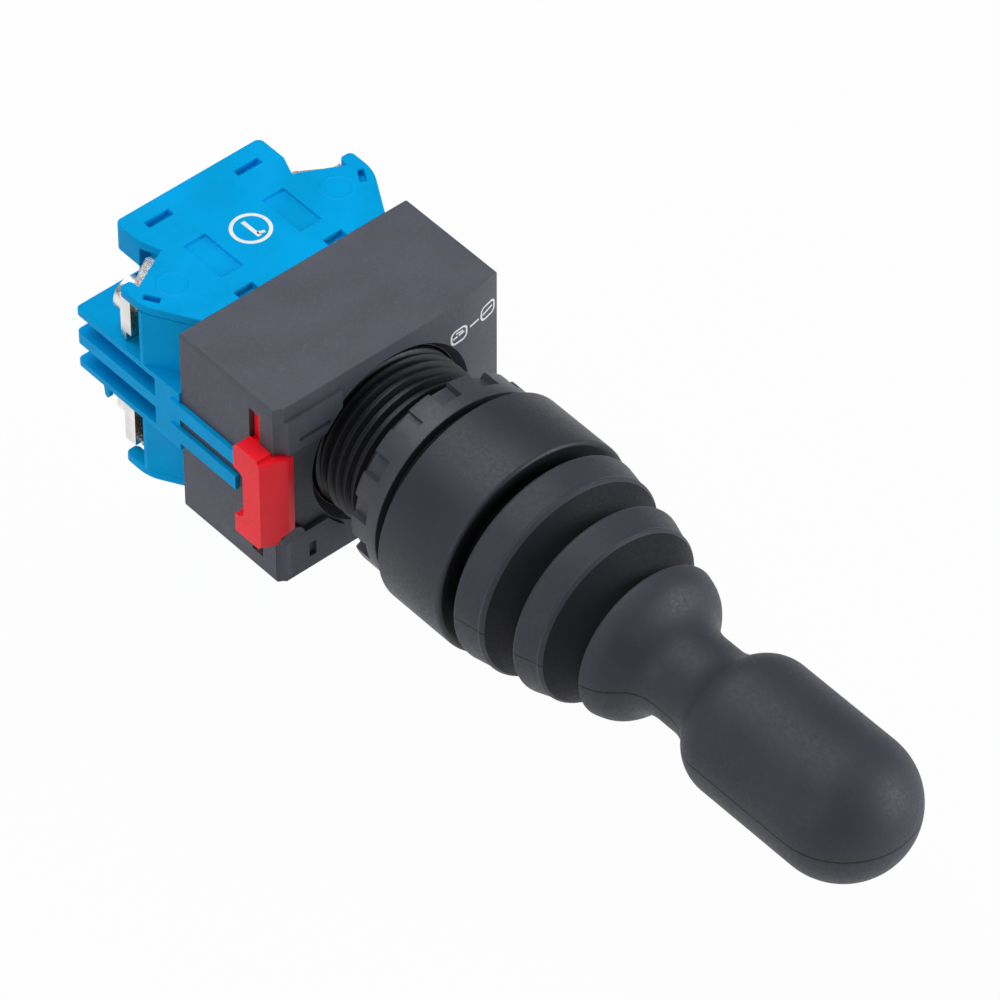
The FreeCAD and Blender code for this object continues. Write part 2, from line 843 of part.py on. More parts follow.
def make_lock_slide():
    slide = Piece("lock_slide")
    wide = base_half_width
    outer = -wide - d.grip_out
    front = base_front - d.grip_proud
    inner = d.corner_width - wide - d.soft_gap
    half = d.corner_half_height - 0.2
    low = base_inner + d.slide_gap
    back = low + 0.5
    slide.pad("Z", -half, half, [
        (outer, front + d.grip_bevel_along),
        (outer + d.grip_bevel_across, front),
        (inner, front),
        (inner, back),
        (outer, back),
    ])
    wing_top = d.corner_half_height + d.wing_rise
    for bottom, top in ((d.wing_low, wing_top), (-wing_top, -d.wing_low)):
        slide.pad("Z", bottom, top, [
            (outer, front + d.grip_bevel_along + 0.6),
            (-wide - d.slide_gap, front + d.grip_bevel_along + 0.6),
            (-wide - d.slide_gap, back + d.wing_back),
            (outer, back + d.wing_back),
        ])
    tall = slot_half_height - 3 * d.slide_gap
    slide.pad("Y", low, slide_rear, rectangle(
        d.slide_recess - wide, -d.slide_reach, -tall, tall))
    slide.pad("Y", low, slide_rear, rectangle(outer, 1 - wide, -half, half))
    slide.pocket("Y", low, slide_rear, Circle(0, 0, latch_groove_radius + d.fit_gap))


block_mid = base_half_height / 2
cover_under = base_half_height - d.cover_thick
terminal_low = d.fin_outer + d.fit_gap
terminal_high = cover_under - d.strip_top_gap
terminal_mid = (terminal_low + terminal_high) / 2


def layer(side, near, far):
    """The z range between two distances from the plane where the blocks meet."""
    return (near, far) if side > 0 else (-far, -near)


def make_block_case(number, side):
    """The moulded case of one contact block; side is +1 for the upper block, -1 for the lower."""
    case = Piece(f"block_{number}_case")
    front = base_rear
    step = front + d.block_step
    core_rear = front + d.block_core_depth
    case.pad("Z", *layer(side, d.fin_outer, cover_under), [
        (-block_edge, front),
        (block_edge, front),
        (block_half_width, front + d.block_flank),
        (block_half_width, step),
        (block_core, step),
        (block_core, core_rear),
        (-block_core, core_rear),
        (-block_core, step),
        (-block_half_width, step),
        (-block_half_width, front + d.block_flank),
    ])
    start = front + d.fin_start
    case.pad("Z", *layer(side, 0, d.fin_outer),
             rectangle(-block_half_width, block_half_width, front, start))
    case.pad("Z", *layer(side, 0, d.fin_outer), rectangle(-fin_core, fin_core, start, core_rear))
    for near, far in ((0, d.fin_thick), (d.fin_outer - d.fin_thick, d.fin_outer)):
        case.pad("Z", *layer(side, near, far), rectangle(
            -block_half_width, block_half_width, start, front + fin_depth))
    inner = base_half_width + d.fit_gap
    outer = inner + d.rail_thick
    for left, right in ((-outer, -inner), (inner, outer)):
        case.pad("Z", *layer(side, d.rail_low, d.rail_high), rectangle(
            left, right, front - d.rail_forward, front + d.rail_root))
    case.pocket("Z", *layer(side, d.fin_thick + d.soft_gap, cover_under), rectangle(
        -cavity_across, cavity_across, front + d.case_wall, core_rear - d.case_wall))
    case.pocket("Y", front, front + d.case_wall, Circle(
        0, side * block_mid, d.plunger_radius + d.fit_gap))
    case.pocket("Z", *layer(side, terminal_low, terminal_high), rectangle(
        -block_core, block_core, step, step + d.strip_thick))
    for across in (-screw_across, screw_across):
        case.pocket("Y", step - d.screw_reach, step, Circle(
            across, side * terminal_mid, d.screw_radius + d.fit_gap / 2))


def make_block_cover(number, side):
    cover = Piece(f"block_{number}_cover")
    front = base_rear
    rear = front + block_depth
    top = base_half_height
    flank = front + d.block_flank
    ledge = front + d.notch_back
    prong_tip = front + d.prong_length
    prong_inner = block_half_width - d.prong_width
    bend = d.prong_round
    skirt = front + d.skirt_start + 2.9
    # one half of the plate's outline, from its front edge to its rear edge
    half = [
        (block_edge, front),
        (block_half_width, flank),
        (block_half_width, prong_tip - bend),
        (block_half_width - bend, prong_tip),
        (prong_inner + bend * 0.5, prong_tip),
        (prong_inner, prong_tip - bend * 0.6),
        (prong_inner, front + d.ledge_start),
        (notch_inner + 0.9, ledge),
        (notch_inner, ledge + 0.35),
        (skirt_across, skirt),
        (skirt_across, rear - d.cover_round),
        (skirt_across - d.cover_round, rear),
    ]
    outline = half + [(-x, y) for x, y in reversed(half)]
    # the corners at the two prong tips and at the rear are arcs
    rounds = {3: d.prong_round, 11: d.cover_round}
    for place, radius in rounds.items():
        outline[place] = Curve(*outline[place], radius, True)
        mirror = len(outline) - place
        outline[mirror] = Curve(*outline[mirror], radius, True)
    cover.pad("Z", *layer(side, top - d.cover_thick, top), outline)
    # the skirt round the rear of the case
    inner = block_core + d.fit_gap
    behind = front + d.block_core_depth + d.fit_gap
    cover.pad("Z", *layer(side, d.skirt_low, top - d.cover_thick), [
        (-skirt_across, skirt),
        (-inner, skirt),
        (-inner, behind),
        (inner, behind),
        (inner, skirt),
        (skirt_across, skirt),
        (skirt_across, rear - d.cover_round),
        Curve(skirt_across - d.cover_round, rear, d.cover_round, True),
        (d.cover_round - skirt_across, rear),
        Curve(-skirt_across, rear - d.cover_round, d.cover_round, True),
    ])
    low, high = layer(side, top - 1, top)
    slot = front + d.block_core_depth - 0.7
    tab = cavity_across - 1.45
    for across in (-1, 1):
        cover.pocket("Z", low, high, rectangle(
            across * tab - 1.85, across * tab + 1.85, slot - 0.55, slot + 0.5))
        cover.pocket("Z", low, high, rectangle(
            across * tab - 1.4, across * tab + 1.4, front, front + 1.3))
        # a small slot parallel to the flank's edge
        middle = across * (block_half_width - 1.75)
        cover.pocket("Z", low, high, [
            (middle + across * 0.9, flank + 0.95),
            (middle + across * 0.2, flank + 1.35),
            (middle - across * 0.9, flank - 0.55),
            (middle - across * 0.2, flank - 0.95),
        ])
        # a shallow rectangular recess
        shallow = layer(side, top - 0.5, top)
        cover.pocket("Z", *shallow, rectangle(across * 6.05 - 1.65, across * 6.05 + 1.65,
                                              front + 4.2, front + 11.3))


def make_plunger(number, side):
    plunger = Piece(f"plunger_{number}")
    up = side * block_mid
    front = plunger_front()
    tail = base_rear + d.tail_start
    plunger.pad("Y", front, tail, Circle(0, up, d.plunger_radius))
    plunger.pad("Y", tail - 0.5, base_rear + d.tail_end, Circle(0, up, d.tail_radius))
    bridge = base_rear + d.bridge_behind
    plunger.pocket("Y", bridge, bridge + d.bridge_thick, rectangle(
        -d.plunger_radius - 1, d.plunger_radius + 1,
        up - d.bridge_half_height, up + d.bridge_half_height))


def make_contact_bridge(number, side):
    bridge = Piece(f"contact_bridge_{number}")
    up = side * block_mid
    low = base_rear + d.bridge_behind
    bridge.pad("Y", low, low + d.bridge_thick, rectangle(
        -bridge_half_length, bridge_half_length,
        up - d.bridge_half_height, up + d.bridge_half_height))


def strip_front():
    return base_rear + d.block_step


def make_contact_strips(number, side):
    solids = []
    low, high = layer(side, terminal_low, terminal_high)
    front = strip_front()
    pad_front = base_rear + d.bridge_behind + d.bridge_thick + d.contact_gap
    for word, across in (("left", -1), ("right", 1)):
        near, far = across * strip_inner, across * (base_half_width - d.strip_inset)
        left, right = (far, near) if across < 0 else (near, far)
        strip = box(f"strip_{number}_{word}", (left, front, low), (right, front + d.strip_thick, high))
        button = rod_along_y(f"button_{number}_{word}", d.bridge_half_height, pad_front,
                             front + d.strip_thick / 2,
                             across * (strip_inner + d.bridge_half_height), side * block_mid)
        hole = rod_along_y(f"strip_hole_{number}_{word}", d.screw_radius + d.fit_gap / 2, front - 1,
                           front + d.strip_thick + 1, across * screw_across, side * terminal_mid)
        whole = combine("Part::MultiFuse", f"strip_whole_{number}_{word}", [strip, button])
        solids.append(combine("Part::Cut", f"contact_{number}_{word}", [whole, hole]))
    group(f"contact_strips_{number}", solids)


def clamp_front():
    return strip_front() + d.strip_thick + d.clamp_lift


def make_wire_clamps(number, side):
    solids = []
    low, high = layer(side, terminal_low, terminal_high)
    front = clamp_front()
    for word, across in (("left", -1), ("right", 1)):
        centre = across * screw_across
        plate = box(f"clamp_plate_{number}_{word}",
                    (centre - d.clamp_half, front, low),
                    (centre + d.clamp_half, front + d.clamp_thick, high))
        edge = centre + across * d.clamp_half
        left, right = (edge, edge + d.clamp_thick) if across < 0 else (edge - d.clamp_thick, edge)
        ear = box(f"clamp_ear_{number}_{word}",
                  (left, front - d.clamp_drop, low),
                  (right, front + d.clamp_thick, high))
        hole = rod_along_y(f"clamp_hole_{number}_{word}", d.screw_radius + d.fit_gap / 2, front - 1,
                           front + d.clamp_thick + 1, centre, side * terminal_mid)
        whole = combine("Part::MultiFuse", f"clamp_whole_{number}_{word}", [plate, ear])
        solids.append(combine("Part::Cut", f"clamp_{number}_{word}", [whole, hole]))
    group(f"wire_clamps_{number}", solids)


def make_terminal_screws(number, side):
    solids = []
    mid = side * terminal_mid
    seat = clamp_front() + d.clamp_thick
    for word, across in (("left", -1), ("right", 1)):
        centre = across * screw_across
        shank = rod_along_y(f"screw_shank_{number}_{word}", d.screw_radius,
                            strip_front() - d.screw_reach, seat + 0.5, centre, mid)
        head = rod_along_y(f"screw_head_{number}_{word}", d.head_radius, seat,
                           seat + d.head_thick, centre, mid)
        slots = []
        for way, wide, tall in (("flat", d.head_radius * 0.8, 0.4), ("cross", 0.4, d.head_radius * 0.8)):
            slots.append(box(f"screw_slot_{number}_{word}_{way}",
                             (centre - wide, seat + d.head_thick / 2, mid - tall),
                             (centre + wide, seat + d.head_thick + 1, mid + tall)))
        whole = combine("Part::MultiFuse", f"screw_whole_{number}_{word}", [shank, head])
        cross = combine("Part::MultiFuse", f"screw_cross_{number}_{word}", slots)
        solids.append(combine("Part::Cut", f"terminal_screw_{number}_{word}", [whole, cross]))
    group(f"terminal_screws_{number}", solids)


def make_return_spring(number, side):
    low = base_rear + d.tail_start
    high = base_rear + d.block_core_depth - d.case_wall
    wire = d.return_wire / 2
    coil(f"return_spring_{number}", d.tail_radius + wire + d.slide_gap, wire, low, high, 7,
         side * block_mid)


make_barrel()
make_bezel_ring()
make_panel_gasket()
make_gate_plate()
make_pivot_pin()
make_rod_guide()
make_lock_washer()
make_lock_nut()
make_lever_shaft()
make_rocker()
make_lever_handle()
make_jam_nut()
make_bellows_boot()
make_base_housing()
make_retaining_plate()
make_plate_screws()
make_lock_slide()
for block_number, block_side in ((1, 1), (2, -1)):
    make_push_rod(block_number, block_side)
    make_rod_spring(block_number, block_side)
    make_block_case(block_number, block_side)
    make_block_cover(block_number, block_side)
    make_plunger(block_number, block_side)
    make_contact_bridge(block_number, block_side)
    make_contact_strips(block_number, block_side)
    make_wire_clamps(block_number, block_side)
    make_terminal_screws(block_number, block_side)
    make_return_spring(block_number, block_side)

doc.recompute()

faults = []
for item in doc.Objects:
    if "Invalid" in item.State or "Error" in item.State:
        faults.append(f"{item.Label} is {item.State}")
for body in (p for p in parts if p.isDerivedFrom("PartDesign::Body")):
    before = None
    for feature in body.Group:
        if not feature.isDerivedFrom("PartDesign::Feature"):
            continue
        volume = feature.Shape.Volume
        cuts = feature.TypeId in ("PartDesign::Pocket", "PartDesign::Groove")
        if cuts and before is not None and volume > before - 1e-4:
            faults.append(f"{feature.Label} cuts nothing")
        before = volume
for part in parts:
    if part.Shape.isNull() or not part.Shape.isValid() or not part.Shape.Solids:
        faults.append(f"{part.Label} has no valid solid")
if faults:
    raise RuntimeError("; ".join(faults))

os.makedirs("parts", exist_ok=True)
for part in parts:
    part.Shape.exportStep(f"parts/{part.Label}.step")
    print(part.Label, len(part.Shape.Solids), round(part.Shape.Volume, 2))
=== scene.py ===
import json
import math

import bmesh
import bpy
from mathutils import Matrix, Vector

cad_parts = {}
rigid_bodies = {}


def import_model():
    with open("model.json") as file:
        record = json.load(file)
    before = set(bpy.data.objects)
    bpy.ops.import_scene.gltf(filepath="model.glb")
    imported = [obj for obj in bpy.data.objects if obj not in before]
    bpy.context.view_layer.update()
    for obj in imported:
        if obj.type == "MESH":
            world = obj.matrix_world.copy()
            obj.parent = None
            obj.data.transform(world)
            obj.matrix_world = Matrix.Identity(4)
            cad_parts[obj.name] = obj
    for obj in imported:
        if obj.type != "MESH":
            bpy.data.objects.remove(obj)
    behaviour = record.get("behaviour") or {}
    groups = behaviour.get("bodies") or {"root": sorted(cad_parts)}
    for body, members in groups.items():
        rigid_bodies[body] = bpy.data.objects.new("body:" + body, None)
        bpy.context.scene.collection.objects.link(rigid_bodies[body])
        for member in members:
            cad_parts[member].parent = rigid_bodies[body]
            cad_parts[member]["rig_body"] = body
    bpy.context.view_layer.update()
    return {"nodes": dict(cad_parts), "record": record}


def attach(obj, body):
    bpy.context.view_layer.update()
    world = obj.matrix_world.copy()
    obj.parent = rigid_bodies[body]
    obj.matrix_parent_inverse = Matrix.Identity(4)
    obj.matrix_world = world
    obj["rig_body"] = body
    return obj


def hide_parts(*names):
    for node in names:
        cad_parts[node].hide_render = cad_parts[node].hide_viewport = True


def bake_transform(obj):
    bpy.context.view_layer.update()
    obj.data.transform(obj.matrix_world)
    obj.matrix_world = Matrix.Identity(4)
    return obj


# A panel-mount lever switch. The frame's origin is at the panel seat on the operator's axis: +Y goes
# into the panel, the handle points along -Y and +Z is up. Lengths in this script are in millimetres
# until MM turns them into metres.

MM = 0.001

# faces of the solids that the pieces below line up with
BEZEL_REAR = -1.05
BASE_FRONT = 13.7
BLOCK_FRONT = 31.3
FLANK_END = 37.9
FIN_REAR = 50.8
BLOCK_HALF_WIDTH = 17.95
COVER_TOP = 14.3
SLIDE_REAR = 17.3

# the M22 x 1.5 thread: its pitch, its ends along Y, and its root and crest radius
PITCH = 1.5
THREAD_START, THREAD_END = 1.3, 14.4
ROOT, CREST = 10.24, 11.0

# printed marks stand this far off their face
INK_RISE = 0.012

# the floor lies below the lever's lowest pose
FLOOR_LEVEL = -34.0

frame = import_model()
nodes = frame["nodes"]


# Materials. Noise scales are per metre, since object coordinates are in metres.

def new_material(name):
    """A material with its node tree and its shader."""
    material = bpy.data.materials.new(name)
    material.use_nodes = True
    tree = material.node_tree
    return material, tree, tree.nodes["Principled BSDF"]


def noise(tree, scale, detail, rough=0.5, coords=None):
    """A noise share in the given coordinates, or in the piece's own ones."""
    node = tree.nodes.new("ShaderNodeTexNoise")
    node.inputs["Scale"].default_value = scale
    node.inputs["Detail"].default_value = detail
    node.inputs["Roughness"].default_value = rough
    if coords is None:
        coords = tree.nodes.new("ShaderNodeTexCoord").outputs["Object"]
    tree.links.new(coords, node.inputs["Vector"])
    return node.outputs["Fac"]


def spread(tree, value, low, high, start=0.35, end=0.65):
    """A value that runs from low to high while the given one runs from start to end."""
    node = tree.nodes.new("ShaderNodeMapRange")
    node.inputs["From Min"].default_value = start
    node.inputs["From Max"].default_value = end
    node.inputs["To Min"].default_value = low
    node.inputs["To Max"].default_value = high
    tree.links.new(value, node.inputs["Value"])
    return node.outputs["Result"]


def mixed(tree, share, first, second):
    """Blend two colours by a share that is a socket; each colour is three numbers or a socket."""
    node = tree.nodes.new("ShaderNodeMix")
    node.data_type = "RGBA"
    tree.links.new(share, node.inputs[0])
    for socket, colour in ((node.inputs[6], first), (node.inputs[7], second)):
        if isinstance(colour, bpy.types.NodeSocket):
            tree.links.new(colour, socket)
        else:
            socket.default_value = (*colour, 1)
    return node.outputs[2]


def bumped(tree, shader, layers):
    """Chain bump layers given as (height socket, strength, distance in millimetres)."""
    normal = None
    for height, strength, distance in layers:
        bump = tree.nodes.new("ShaderNodeBump")
        bump.inputs["Strength"].default_value = strength
        bump.inputs["Distance"].default_value = distance * MM
        tree.links.new(height, bump.inputs["Height"])
        if normal is not None:
            tree.links.new(normal, bump.inputs["Normal"])
        normal = bump.outputs["Normal"]
    tree.links.new(normal, shader.inputs["Normal"])


def seam_share(tree, half_width):
    """1 on the parting line, the plane z = 0 of the piece, and 0 away from it."""
    coords = tree.nodes.new("ShaderNodeTexCoord").outputs["Object"]
    split = tree.nodes.new("ShaderNodeSeparateXYZ")
    tree.links.new(coords, split.inputs[0])
    size = tree.nodes.new("ShaderNodeMath")
    size.operation = "ABSOLUTE"
    tree.links.new(split.outputs["Z"], size.inputs[0])
    return spread(tree, size.outputs[0], 1, 0, half_width * MM * 0.5, half_width * MM)


def tinted(colour, factor):
    """The colour made lighter or darker by a factor."""
    return tuple(min(1, c * factor) for c in colour)


def moulded(name, colour, rough, grain, seam=None, specular=0.5, flecks=0.3):
    """Injection-moulded plastic or rubber with a fine grain, soft mottling and an optional parting line."""
    material, tree, shader = new_material(name)
    mottle = 0.07
    pale, dark = tinted(colour, 1 + mottle), tinted(colour, 1 - mottle)
    broad = noise(tree, 140, 4)
    fine = noise(tree, 2600, 2, 0.6)
    specks = noise(tree, 3600, 2, 0.7)
    base = mixed(tree, spread(tree, broad, 0, 1), dark, pale)
    base = mixed(tree, spread(tree, specks, 0, flecks, 0.52, 0.72), base, tinted(colour, 1.5))
    layers = [(fine, grain, 0.012), (broad, 0.06, 0.15)]
    if seam:
        line = seam_share(tree, seam)
        base = mixed(tree, line, base, tinted(colour, 0.1))
        layers.append((spread(tree, line, 1, 0, 0, 1), 0.5, 0.08))
    tree.links.new(base, shader.inputs["Base Color"])
    tree.links.new(spread(tree, fine, rough - 0.06, rough + 0.08), shader.inputs["Roughness"])
    shader.inputs["Specular IOR Level"].default_value = specular
    bumped(tree, shader, layers)
    return material


def metal(name, colour, rough, brush, grain=0.4):
    """Plated or drawn metal with slight staining and fine scratches, stretched by brush along X, Y and Z."""
    material, tree, shader = new_material(name)
    coords = tree.nodes.new("ShaderNodeTexCoord").outputs["Object"]
    mapping = tree.nodes.new("ShaderNodeMapping")
    mapping.inputs["Scale"].default_value = brush
    tree.links.new(coords, mapping.inputs["Vector"])
    scratches = noise(tree, 2200, 3, 0.6, mapping.outputs[0])
    stain = noise(tree, 260, 4)
    stained = mixed(tree, spread(tree, stain, 0, 1), tinted(colour, 0.82), tinted(colour, 1.1))
    tree.links.new(stained, shader.inputs["Base Color"])
    tree.links.new(spread(tree, scratches, rough - 0.08, rough + 0.12), shader.inputs["Roughness"])
    shader.inputs["Metallic"].default_value = 1
    bumped(tree, shader, [(scratches, grain, 0.008)])
    return material


def ink(name, colour):
    """Pad-printed ink that is a little thin in places."""
    material, tree, shader = new_material(name)
    patch = noise(tree, 1500, 4, 0.7)
    worn = mixed(tree, spread(tree, patch, 0, 1, 0.3, 0.5), tinted(colour, 0.8), colour)
    tree.links.new(worn, shader.inputs["Base Color"])
    tree.links.new(spread(tree, patch, 0.4, 0.6), shader.inputs["Roughness"])
    return material


looks = {
    "black_plastic": moulded("black_plastic", (0.029, 0.031, 0.040), 0.46, 0.3, specular=0.32),
    # black plastic darkened further: painted shade on the thread, the barrel core and the bezel's end faces;
    # also the black of the washer and jam nut
    "black_and_painted_shade_plastic": moulded("black_and_painted_shade_plastic", (0.013, 0.0135, 0.016), 0.4, 0.2, specular=0.3),
    # a lighter copy of the black plastic for the nut: painted light
    "painted_light_nut_plastic": moulded("painted_light_nut_plastic", (0.05, 0.053, 0.066), 0.42, 0.3, specular=0.35),
    "black_rubber": moulded("black_rubber", (0.036, 0.038, 0.049), 0.52, 0.3, 0.14, specular=0.3),
    "handle_rubber": moulded("handle_rubber", (0.036, 0.038, 0.049), 0.55, 0.2, 0.22, specular=0.34),
    # a darker rubber for the boot's cones and valleys: painted shade
    "painted_shade_rubber": moulded("painted_shade_rubber", (0.0125, 0.013, 0.016), 0.6, 0.15, specular=0.14),
    # the gasket's own black rubber, darkened further as painted shade in the gap between nut and bezel
    "gasket_rubber": moulded("gasket_rubber", (0.004, 0.004, 0.0045), 0.85, 0.3, specular=0.04),
    "grey_plastic": moulded("grey_plastic", (0.082, 0.086, 0.107), 0.55, 0.7, specular=0.28, flecks=0.4),
    "red_plastic": moulded("red_plastic", (0.96, 0.008, 0.022), 0.38, 0.15, specular=0.22),
    "blue_plastic": moulded("blue_plastic", (0.0, 0.355, 0.74), 0.36, 0.15, specular=0.03, flecks=0.1),
    "inner_plastic": moulded("inner_plastic", (0.72, 0.72, 0.68), 0.4, 0.2),
    "steel": metal("steel", (0.60, 0.60, 0.62), 0.34, (1, 8, 1)),
    "spring_steel": metal("spring_steel", (0.50, 0.50, 0.53), 0.3, (6, 1, 1)),
    "brass": metal("brass", (0.78, 0.60, 0.30), 0.3, (1, 6, 1)),
    "silver": metal("silver", (0.84, 0.82, 0.80), 0.26, (5, 1, 1), 0.1),
    "white_ink": ink("white_ink", (0.86, 0.87, 0.88)),
}
slot_of = {row["node"]: row["material_slot"] for row in frame["record"]["subparts"]}


def dress(piece, look):
    """Give the whole piece one look."""
    piece.data.materials.clear()
    piece.data.materials.append(looks[look])


for node_name, node_object in nodes.items():
    dress(node_object, slot_of[node_name])


# Pieces and meshes.

def shade(mesh, angle=32):
    """Smooth shading, with edges over the angle in degrees left sharp."""
    mesh.shade_smooth()
    mesh.set_sharp_from_angle(angle=math.radians(angle))


def linked(name, data):
    """A new object in the scene's collection."""
    item = bpy.data.objects.new(name, data)
    bpy.context.scene.collection.objects.link(item)
    return item


def add_piece(name, mesh, body, slot, stands_for=(), look=None):
    """A piece that rides on a body; stands_for names the CAD nodes it replaces."""
    piece = linked(name, mesh)
    dress(piece, look or slot)
    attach(piece, body)
    if stands_for:
        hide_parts(*stands_for)
    return piece


def make_soft(piece, node, start, end):
    """Put the piece in place of a node: bake its transform and hide the node."""
    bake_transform(piece)
    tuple(start)
    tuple(end)
    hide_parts(node)


def outward(mesh, weld=False):
    """Turn the normals outwards, after welding points that coincide if asked."""
    shape = bmesh.new()
    shape.from_mesh(mesh)
    if weld:
        bmesh.ops.remove_doubles(shape, verts=shape.verts, dist=2e-7)
        bmesh.ops.dissolve_degenerate(shape, edges=shape.edges, dist=1e-7)
    bmesh.ops.recalc_face_normals(shape, faces=shape.faces)
    shape.to_mesh(mesh)
    shape.free()


def closed_mesh(name, verts, faces, weld=False):
    """A closed mesh from points in millimetres."""
    mesh = bpy.data.meshes.new(name)
    mesh.from_pydata([tuple(c * MM for c in point) for point in verts], [], faces)
    outward(mesh, weld)
    return mesh


def filleted(points, steps=6):
    """Round the corners of a closed outline of (u, v, radius) points."""
    result = []
    count = len(points)
    for i in range(count):
        u, v, radius = points[i]
        corner = Vector((u, v))
        before = Vector(points[i - 1][:2]) - corner
        after = Vector(points[(i + 1) % count][:2]) - corner
        if radius <= 0 or before.length < 1e-6 or after.length < 1e-6:
            result.append((u, v))
            continue
        angle = before.angle(after)
        if angle > math.radians(176) or angle < math.radians(4):
            result.append((u, v))
            continue
        reach = min(radius / math.tan(angle / 2), before.length * 0.48, after.length * 0.48)
        size = reach * math.tan(angle / 2)
        start = corner + before.normalized() * reach
        end = corner + after.normalized() * reach
        inward = (before.normalized() + after.normalized()).normalized()
        middle = corner + inward * (size / math.sin(angle / 2))
        a0 = math.atan2(start.y - middle.y, start.x - middle.x)
        sweep = (math.atan2(end.y - middle.y, end.x - middle.x) - a0 + math.pi) % (2 * math.pi) - math.pi
        for step in range(steps + 1):
            a = a0 + sweep * step / steps
            result.append((middle.x + size * math.cos(a), middle.y + size * math.sin(a)))
    return result


def lathe_mesh(name, outline, angles=None, change=None, turns=192):
    """Turn a closed outline of (radius, y) about the Y axis; change may alter a point's radius."""
    if angles is None:
        angles = [2 * math.pi * i / turns for i in range(turns)]
    verts, faces = [], []
    rows = len(outline)
    for a in angles:
        for radius, y in outline:
            r = change(radius, y, a) if change else radius
            verts.append((r * math.cos(a), y, r * math.sin(a)))
    for i in range(len(angles)):
        j = (i + 1) % len(angles)
        for k in range(rows):
            m = (k + 1) % rows
            faces.append((i * rows + k, i * rows + m, j * rows + m, j * rows + k))
    return closed_mesh(name, verts, faces, weld=True)


def prism(axis, low, high, points):
    """A closed prism along an axis; points are (y, z), (x, z) or (x, y) for the axis x, y or z."""
    def place(along, u, v):
        return {"x": (along, u, v), "y": (u, along, v), "z": (u, v, along)}[axis]

    count = len(points)
    verts = [place(low, u, v) for u, v in points] + [place(high, u, v) for u, v in points]
    faces = [tuple(range(count)), tuple(range(2 * count - 1, count - 1, -1))]
    faces += [(i, i + count, (i + 1) % count + count, (i + 1) % count) for i in range(count)]
    return closed_mesh("prism", verts, faces)


def merge_facets(mesh):
    """Join the flat facets of a solid's mesh into whole faces."""
    shape = bmesh.new()
    shape.from_mesh(mesh)
    bmesh.ops.remove_doubles(shape, verts=shape.verts, dist=2e-6)
    bmesh.ops.dissolve_limit(shape, angle_limit=math.radians(0.4), verts=shape.verts, edges=shape.edges)
    shape.to_mesh(mesh)
    shape.free()


def carved(mesh, cutters):
    """The mesh with each cutter's volume taken away."""
    body = linked("carving", mesh)
    tools = []
    for cutter in cutters:
        tool = linked("cutter", cutter)
        cut = body.modifiers.new("cut", "BOOLEAN")
        cut.operation = "DIFFERENCE"
        cut.solver = "EXACT"
        cut.object = tool
        tools.append(tool)
    bpy.context.view_layer.update()
    result = bpy.data.meshes.new_from_object(body.evaluated_get(bpy.context.evaluated_depsgraph_get()))
    for spent in [body] + tools:
        bpy.data.objects.remove(spent)
    return result


def refined(node, bevel, cutters=(), look=None):
    """A copy of a CAD node with merged facets and softly bevelled edges, which replaces the node."""
    mesh = nodes[node].data.copy()
    merge_facets(mesh)
    if cutters:
        mesh = carved(mesh, cutters)
        merge_facets(mesh)
    shade(mesh)
    piece = add_piece(node + "_moulding", mesh, nodes[node]["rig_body"], slot_of[node], [node], look)
    soften_edges(piece, bevel)


def soften_edges(piece, bevel):
    """Bevel the sharp edges by a width in millimetres."""
    soften = piece.modifiers.new("soft edges", "BEVEL")
    soften.width = bevel * MM
    soften.segments = 3
    soften.limit_method = "ANGLE"
    soften.angle_limit = math.radians(32)
    soften.harden_normals = True
    soften.use_clamp_overlap = True


# Camera, floor and light.

def make_camera():
    """A long lens a metre away, from the photo's side and height, with the photo's shift in the frame."""
    side, rise = math.radians(40.9), math.radians(45.3)
    right = Vector((math.cos(side), -math.sin(side), 0))
    back = Vector((-math.sin(side) * math.cos(rise), -math.cos(side) * math.cos(rise), math.sin(rise)))
    up = back.cross(right)
    data = bpy.data.cameras.new("camera")
    data.sensor_width = 36
    data.lens = 304.8
    data.clip_start, data.clip_end = 0.05, 20
    camera = linked("camera", data)
    middle = Vector((0, BASE_FRONT * MM, 0)) + right * (12.76 * MM) - up * (8.1 * MM)
    camera.matrix_world = Matrix.Translation(middle + back) @ Matrix((right, up, back)).transposed().to_4x4()
    bpy.context.scene.camera = camera


def make_floor():
    """A floor that is white to the camera and in reflections, with the object's shadow faintly on it."""
    bpy.ops.mesh.primitive_plane_add(size=6, location=(0, 0, FLOOR_LEVEL * MM))
    floor = bpy.context.object
    floor.name = "floor"
    material = bpy.data.materials.new("floor")
    material.use_nodes = True
    tree = material.node_tree
    tree.nodes.clear()
    output = tree.nodes.new("ShaderNodeOutputMaterial")
    diffuse = tree.nodes.new("ShaderNodeBsdfDiffuse")
    diffuse.inputs["Color"].default_value = (0.75, 0.75, 0.75, 1)
    glow = tree.nodes.new("ShaderNodeEmission")
    glow.inputs["Color"].default_value = (1, 1, 1, 1)
    path = tree.nodes.new("ShaderNodeLightPath")
    either = tree.nodes.new("ShaderNodeMath")
    either.operation = "MAXIMUM"
    share = tree.nodes.new("ShaderNodeMath")
    share.operation = "MULTIPLY"
    share.inputs[1].default_value = 0.96
    blend = tree.nodes.new("ShaderNodeMixShader")
    tree.links.new(path.outputs["Is Camera Ray"], either.inputs[0])
    tree.links.new(path.outputs["Is Glossy Ray"], either.inputs[1])
    tree.links.new(either.outputs[0], share.inputs[0])
    tree.links.new(share.outputs[0], blend.inputs[0])
    tree.links.new(diffuse.outputs[0], blend.inputs[1])
    tree.links.new(glow.outputs[0], blend.inputs[2])
    tree.links.new(blend.outputs[0], output.inputs["Surface"])
    floor.data.materials.append(material)


